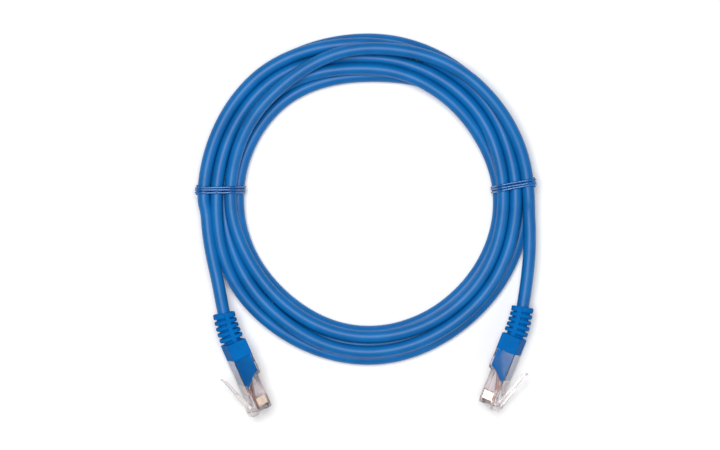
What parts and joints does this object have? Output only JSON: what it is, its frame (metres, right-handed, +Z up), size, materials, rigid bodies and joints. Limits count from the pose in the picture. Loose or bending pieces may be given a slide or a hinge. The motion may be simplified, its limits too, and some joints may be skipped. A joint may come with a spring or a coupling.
{
  "type": "ethernet patch cable",
  "caption": "Blue ethernet patch cable wound into a round coil held by two wire ties, with a booted clear modular plug on each end.",
  "frame": {"origin": "middle of the coil eye, at the level the cable rests on", "axes": "+Z up from the table, both plugs point roughly towards -Y, +X from the left plug to the right plug"},
  "size_m": [0.1307, 0.1475, 0.0153],
  "materials": {
    "cable_jacket": "satin blue PVC jacket",
    "boot_plastic": "satin moulded blue plastic",
    "clear_plastic": "clear moulded polycarbonate",
    "gold_contact": "gold plated",
    "tie_plastic": "gloss blue plastic coat",
    "tie_steel": "bright soft steel wire",
    "copper": "bare copper",
    "wire_white_orange": "white with an orange stripe",
    "wire_orange": "orange insulation",
    "wire_white_green": "white with a green stripe",
    "wire_blue": "blue insulation",
    "wire_white_blue": "white with a blue stripe",
    "wire_green": "green insulation",
    "wire_white_brown": "white with a brown stripe",
    "wire_brown": "brown insulation"
  },
  "bodies": {
    "cable": {"coil": "cable_jacket", "left_boot": "boot_plastic", "left_contact_1": "gold_contact", "left_contact_2": "gold_contact", "left_contact_3": "gold_contact", "left_contact_4": "gold_contact", "left_contact_5": "gold_contact", "left_contact_6": "gold_contact", "left_contact_7": "gold_contact", "left_contact_8": "gold_contact", "left_jacket_end": "cable_jacket", "left_lead": "cable_jacket", "left_plug_housing": "clear_plastic", "left_tie_coat": "tie_plastic", "left_tie_wire": "tie_steel", "left_wire_1_white_orange": "wire_white_orange", "left_wire_2_orange": "wire_orange", "left_wire_3_white_green": "wire_white_green", "left_wire_4_blue": "wire_blue", "left_wire_5_white_blue": "wire_white_blue", "left_wire_6_green": "wire_green", "left_wire_7_white_brown": "wire_white_brown", "left_wire_8_brown": "wire_brown", "left_wire_cores": "copper", "right_boot": "boot_plastic", "right_contact_1": "gold_contact", "right_contact_2": "gold_contact", "right_contact_3": "gold_contact", "right_contact_4": "gold_contact", "right_contact_5": "gold_contact", "right_contact_6": "gold_contact", "right_contact_7": "gold_contact", "right_contact_8": "gold_contact", "right_jacket_end": "cable_jacket", "right_lead": "cable_jacket", "right_plug_housing": "clear_plastic", "right_tie_coat": "tie_plastic", "right_tie_wire": "tie_steel", "right_wire_1_white_orange": "wire_white_orange", "right_wire_2_orange": "wire_orange", "right_wire_3_white_green": "wire_white_green", "right_wire_4_blue": "wire_blue", "right_wire_5_white_blue": "wire_white_blue", "right_wire_6_green": "wire_green", "right_wire_7_white_brown": "wire_white_brown", "right_wire_8_brown": "wire_brown", "right_wire_cores": "copper"},
    "left_latch_arm": {"left_latch": "clear_plastic"},
    "right_latch_arm": {"right_latch": "clear_plastic"}
  },
  "joints": [
    {"name": "left_latch_press", "type": "hinge", "parent": "cable", "child": "left_latch_arm", "pos_m": [-0.04583, -0.07931, 0.00783], "axis": [-0.2632, -0.0229, -0.9645], "range_deg": [0, 15], "stiffness_Nm_per_rad": 0.2},
    {"name": "right_latch_press", "type": "hinge", "parent": "cable", "child": "right_latch_arm", "pos_m": [0.05082, -0.07733, 0.00776], "axis": [-0.2451, 0.0612, 0.9676], "range_deg": [0, 15], "stiffness_Nm_per_rad": 0.2}
  ]
}
